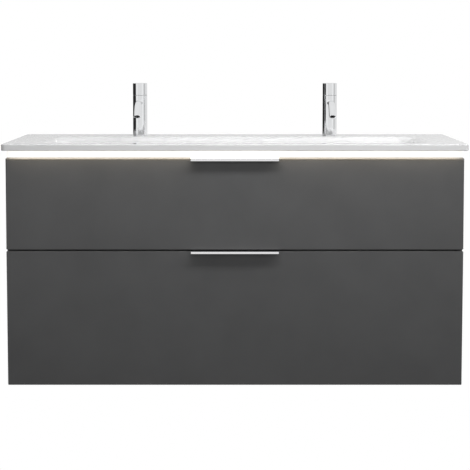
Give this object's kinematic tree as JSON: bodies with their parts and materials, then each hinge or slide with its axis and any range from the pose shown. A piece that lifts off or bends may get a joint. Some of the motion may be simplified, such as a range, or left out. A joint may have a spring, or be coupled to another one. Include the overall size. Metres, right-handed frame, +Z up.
{
  "type": "bathroom vanity cabinet",
  "caption": "Wall-hung double vanity: dark drawer cabinet with edge-pull handles, light strip, white trough basin and cylinder taps.",
  "frame": {"origin": "on the wall plane, at the middle of the cabinet's bottom rear edge", "axes": "+X to the right seen from the front, +Y into the wall, +Z up"},
  "size_m": [1.23, 0.495, 0.796],
  "materials": {
    "lacquer": "matt anthracite lacquer on board, with a fine texture",
    "carcass": "matt anthracite decor on board",
    "drawer_grey": "matt dark grey decor on board",
    "galvanised": "zinc-plated steel",
    "handle": "satin aluminium",
    "chrome": "polished chrome",
    "basin": "gloss white mineral cast",
    "diffuser": "opal, lit from inside",
    "strip": "white circuit board",
    "white_plastic": "moulded white plastic",
    "rubber": "black rubber",
    "dark_bore": "black moulded plastic"
  },
  "bodies": {
    "cabinet": {"left_side_panel": "carcass", "right_side_panel": "carcass", "bottom_panel": "carcass", "front_rail": "carcass", "middle_rail": "carcass", "rear_top_rail": "carcass", "rear_bottom_rail": "carcass", "cabinet_cams": "galvanised", "left_hanger": "galvanised", "right_hanger": "galvanised", "wall_plates": "galvanised", "cabinet_runners": "galvanised", "door_bumpers": "white_plastic", "light_profile": "handle", "light_diffuser": "diffuser", "light_strips": "strip", "light_driver": "white_plastic", "basin": "basin", "waste_body": "chrome", "waste_seal": "rubber", "waste_nut": "white_plastic", "trap_inlet_pipe": "chrome", "trap_head": "chrome", "trap_cup": "chrome", "trap_nuts": "chrome", "trap_outlet_pipe": "chrome", "left_tap_body": "chrome", "left_tap_spout": "chrome", "left_tap_aerator": "dark_bore", "left_tap_shank": "galvanised", "right_tap_body": "chrome", "right_tap_spout": "chrome", "right_tap_aerator": "dark_bore", "right_tap_shank": "galvanised", "tap_seals": "rubber", "tap_nuts": "galvanised"},
    "upper_drawer": {"upper_front": "lacquer", "upper_handle": "handle", "upper_handle_screws": "galvanised", "upper_drawer_sides": "drawer_grey", "upper_drawer_bottom": "drawer_grey", "upper_drawer_back": "drawer_grey", "upper_pipe_surround": "drawer_grey", "upper_front_brackets": "galvanised", "upper_drawer_runners": "galvanised"},
    "lower_drawer": {"lower_front": "lacquer", "lower_handle": "handle", "lower_handle_screws": "galvanised", "lower_drawer_sides": "drawer_grey", "lower_drawer_bottom": "drawer_grey", "lower_drawer_back": "drawer_grey", "lower_front_brackets": "galvanised", "lower_drawer_runners": "galvanised"},
    "upper_runner_middles": {"upper_middle_runners": "galvanised"},
    "lower_runner_middles": {"lower_middle_runners": "galvanised"},
    "left_cartridge": {"left_tap_core": "galvanised"},
    "left_cap": {"left_tap_cap": "chrome"},
    "right_cartridge": {"right_tap_core": "galvanised"},
    "right_cap": {"right_tap_cap": "chrome"},
    "plug": {"waste_plug": "chrome"}
  },
  "joints": [
    {"name": "upper_drawer_slide", "type": "slide", "parent": "cabinet", "child": "upper_drawer", "axis": [0, -1, 0], "range_m": [0, 0.4]},
    {"name": "lower_drawer_slide", "type": "slide", "parent": "cabinet", "child": "lower_drawer", "axis": [0, -1, 0], "range_m": [0, 0.4]},
    {"name": "upper_middle_slide", "type": "slide", "parent": "cabinet", "child": "upper_runner_middles", "axis": [0, -1, 0], "range_m": [0, 0.2]},
    {"name": "lower_middle_slide", "type": "slide", "parent": "cabinet", "child": "lower_runner_middles", "axis": [0, -1, 0], "range_m": [0, 0.2]},
    {"name": "plug_lift", "type": "slide", "parent": "cabinet", "child": "plug", "axis": [0, 0, 1], "range_m": [0, 0.008]},
    {"name": "left_tap_turn", "type": "hinge", "parent": "cabinet", "child": "left_cartridge", "pos_m": [-0.275, -0.073, 0.776], "axis": [0, 0, 1], "range_deg": [-50, 50]},
    {"name": "left_tap_lift", "type": "hinge", "parent": "left_cartridge", "child": "left_cap", "pos_m": [-0.275, -0.073, 0.776], "axis": [-1, 0, 0], "range_deg": [0, 20]},
    {"name": "right_tap_turn", "type": "hinge", "parent": "cabinet", "child": "right_cartridge", "pos_m": [0.275, -0.073, 0.776], "axis": [0, 0, 1], "range_deg": [-50, 50]},
    {"name": "right_tap_lift", "type": "hinge", "parent": "right_cartridge", "child": "right_cap", "pos_m": [0.275, -0.073, 0.776], "axis": [-1, 0, 0], "range_deg": [0, 20]}
  ],
  "couplings": [
    {"joint": "upper_middle_slide", "follows": "upper_drawer_slide", "ratio": 0.5},
    {"joint": "lower_middle_slide", "follows": "lower_drawer_slide", "ratio": 0.5}
  ]
}
